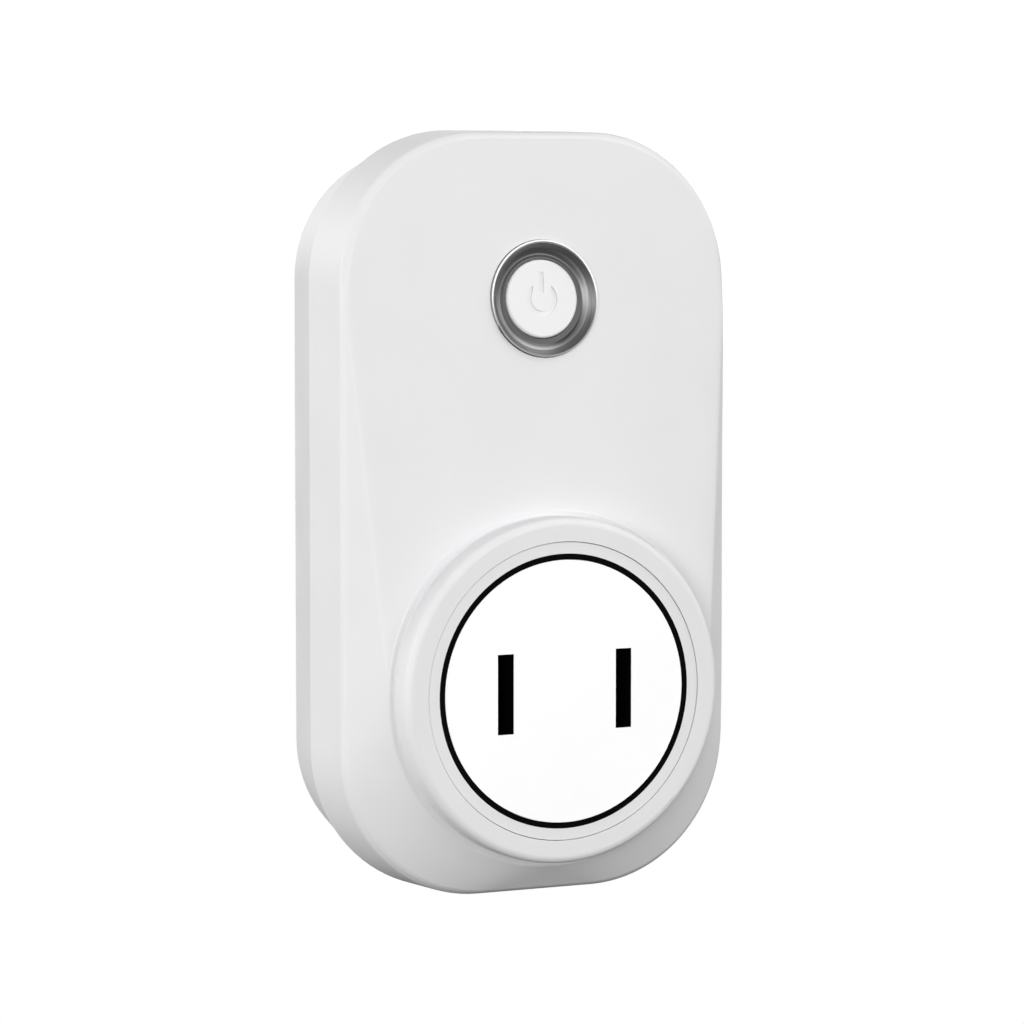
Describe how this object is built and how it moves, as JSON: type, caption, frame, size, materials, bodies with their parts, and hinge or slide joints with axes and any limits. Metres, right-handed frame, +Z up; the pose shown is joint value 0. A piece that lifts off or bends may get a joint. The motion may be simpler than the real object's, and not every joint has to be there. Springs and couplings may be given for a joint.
{
  "type": "smart plug",
  "caption": "Tall rounded plug-in switch for a wall outlet: flat blades behind, an outlet in a round boss in front, and a push button in a bright ring above it.",
  "frame": {"origin": "on the wall plane, half way between the two blades", "axes": "+Z up along the body, +X to the right seen from the front, -Y out of the wall towards the user; the blades point along +Y"},
  "size_m": [0.0422, 0.0472, 0.0747],
  "materials": {
    "white_shell": "fine satin white",
    "white_face": "smooth bright white",
    "black_trim": "gloss black",
    "bright_ring": "polished, dished",
    "white_button": "satin white",
    "dark_insulator": "moulded, dull",
    "pale_insulator": "moulded, dull",
    "contact_metal": "plain pressed strip",
    "blade_metal": "nickel plated, bright",
    "circuit_board": "green solder mask",
    "lid_metal": "satin",
    "shield_metal": "brushed",
    "lamp": "clear encapsulated",
    "relay_case": "blue moulded case",
    "film_case": "yellow moulded case",
    "varistor_coat": "blue dipped",
    "can_sleeve": "black shrink sleeve",
    "chip_case": "moulded black",
    "ferrite": "dark grey ferrite",
    "coil_tape": "yellow tape over enamelled wire",
    "fuse_glass": "pale tube with metal caps",
    "pin_metal": "gold plated",
    "screw_steel": "zinc plated"
  },
  "bodies": {
    "housing": {"front_cover": "white_shell", "rear_cover": "white_shell", "socket_collar": "white_shell", "socket_trim_ring": "black_trim", "socket_face": "white_face", "contact_carrier": "dark_insulator", "line_contact": "contact_metal", "neutral_contact": "contact_metal", "line_blade": "blade_metal", "neutral_blade": "blade_metal", "blade_clamp": "pale_insulator", "neutral_strap": "contact_metal", "line_in_strap": "contact_metal", "line_out_strap": "contact_metal", "button_ring": "bright_ring", "control_board": "circuit_board", "switch_base": "dark_insulator", "switch_lid": "lid_metal", "status_light": "lamp", "radio_board": "circuit_board", "radio_shield": "shield_metal", "power_board": "circuit_board", "relay": "relay_case", "film_capacitor": "film_case", "rectifier": "chip_case", "varistor": "varistor_coat", "input_capacitor": "can_sleeve", "output_capacitor": "can_sleeve", "transformer_core": "ferrite", "transformer_bobbin": "dark_insulator", "primary_winding": "coil_tape", "secondary_winding": "coil_tape", "fuse": "fuse_glass", "header_bar": "chip_case", "header_pins": "pin_metal", "housing_screws": "screw_steel", "board_screws": "screw_steel"},
    "button": {"button_cap": "white_button", "switch_plunger": "dark_insulator"}
  },
  "joints": [
    {"name": "button_press", "type": "slide", "parent": "housing", "child": "button", "axis": [0, 1, 0], "range_m": [0, 0.0003], "stiffness_N_per_m": 4000}
  ]
}
